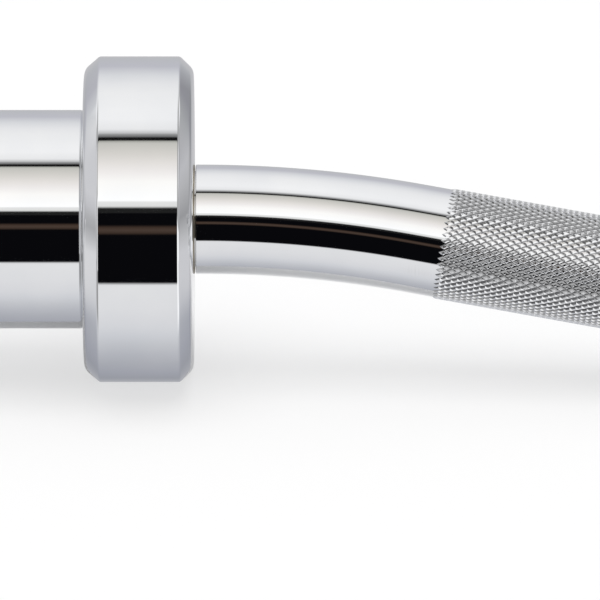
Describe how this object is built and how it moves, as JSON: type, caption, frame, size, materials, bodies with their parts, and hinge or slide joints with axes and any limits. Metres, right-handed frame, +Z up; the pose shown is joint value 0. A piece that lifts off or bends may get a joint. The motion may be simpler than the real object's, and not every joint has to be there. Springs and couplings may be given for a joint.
{
  "type": "ez curl bar",
  "caption": "Bent curl bar with a knurled wave-shaped grip and a turning sleeve with a chamfered collar at each end to carry weight plates.",
  "frame": {"origin": "on the floor, under the middle of the sleeves' common axis, with the bar lying as it rests on its collars and on the two valleys of its wave", "axes": "+X along the bar towards the right sleeve, +Z up, the valleys of the wave towards -Y"},
  "size_m": [1.2, 0.0744, 0.0745],
  "materials": {
    "bright_chrome": "polished",
    "knurled_chrome": "polished",
    "end_disc_chrome": "satin",
    "bronze": "satin",
    "ground_steel": "satin",
    "spring_steel": "satin"
  },
  "bodies": {
    "bar": {"shaft": "knurled_chrome", "left_inner_thrust_washer": "ground_steel", "left_outer_thrust_washer": "ground_steel", "left_disc_spring": "spring_steel", "left_journal_circlip": "spring_steel", "right_inner_thrust_washer": "ground_steel", "right_outer_thrust_washer": "ground_steel", "right_disc_spring": "spring_steel", "right_journal_circlip": "spring_steel"},
    "left_sleeve": {"left_collar": "bright_chrome", "left_sleeve_tube": "bright_chrome", "left_inner_bush": "bronze", "left_outer_bush": "bronze", "left_end_disc": "end_disc_chrome", "left_end_circlip": "spring_steel"},
    "right_sleeve": {"right_collar": "bright_chrome", "right_sleeve_tube": "bright_chrome", "right_inner_bush": "bronze", "right_outer_bush": "bronze", "right_end_disc": "end_disc_chrome", "right_end_circlip": "spring_steel"}
  },
  "joints": [
    {"name": "left_sleeve_spin", "type": "hinge", "parent": "bar", "child": "left_sleeve", "pos_m": [-0.5, 0, 0.03725], "axis": [1, 0, 0], "continuous": true},
    {"name": "right_sleeve_spin", "type": "hinge", "parent": "bar", "child": "right_sleeve", "pos_m": [0.5, 0, 0.03725], "axis": [1, 0, 0], "continuous": true}
  ]
}
